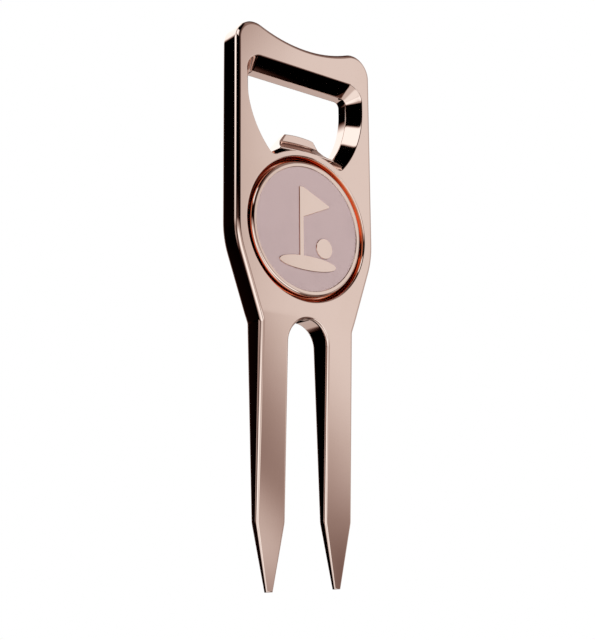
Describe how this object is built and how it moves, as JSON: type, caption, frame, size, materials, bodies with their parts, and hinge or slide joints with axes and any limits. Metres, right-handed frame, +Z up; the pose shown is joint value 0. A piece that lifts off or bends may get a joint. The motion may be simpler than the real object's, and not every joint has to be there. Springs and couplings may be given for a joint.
{
  "type": "divot repair tool",
  "caption": "Two-prong divot repair tool with a bottle-opener head and a round magnetic ball marker that lifts out of its seat.",
  "frame": {"origin": "midway between the two prong tips, at their ends, halfway through the thickness", "axes": "+Z up the tool from the prong tips to the opener, -Y out of the front face that holds the marker, +X to the right seen from the front"},
  "size_m": [0.03, 0.0044, 0.0958],
  "materials": {
    "polished_rose_gold": "polished rose-gold plate on zinc alloy",
    "polished_marker": "polished rose-gold plate on stamped steel",
    "matt_enamel": "matt mauve-pink enamel",
    "nickel_plate": "satin nickel plate",
    "clear_epoxy": "cured clear epoxy"
  },
  "bodies": {
    "tool": {"tool_body": "polished_rose_gold", "seat_magnet": "nickel_plate", "magnet_adhesive": "clear_epoxy"},
    "marker": {"ball_marker": "polished_marker", "marker_enamel": "matt_enamel"}
  },
  "joints": [
    {"name": "marker_lift", "type": "slide", "parent": "tool", "child": "marker", "axis": [0, -1, 0], "range_m": [0, 0.012]}
  ]
}
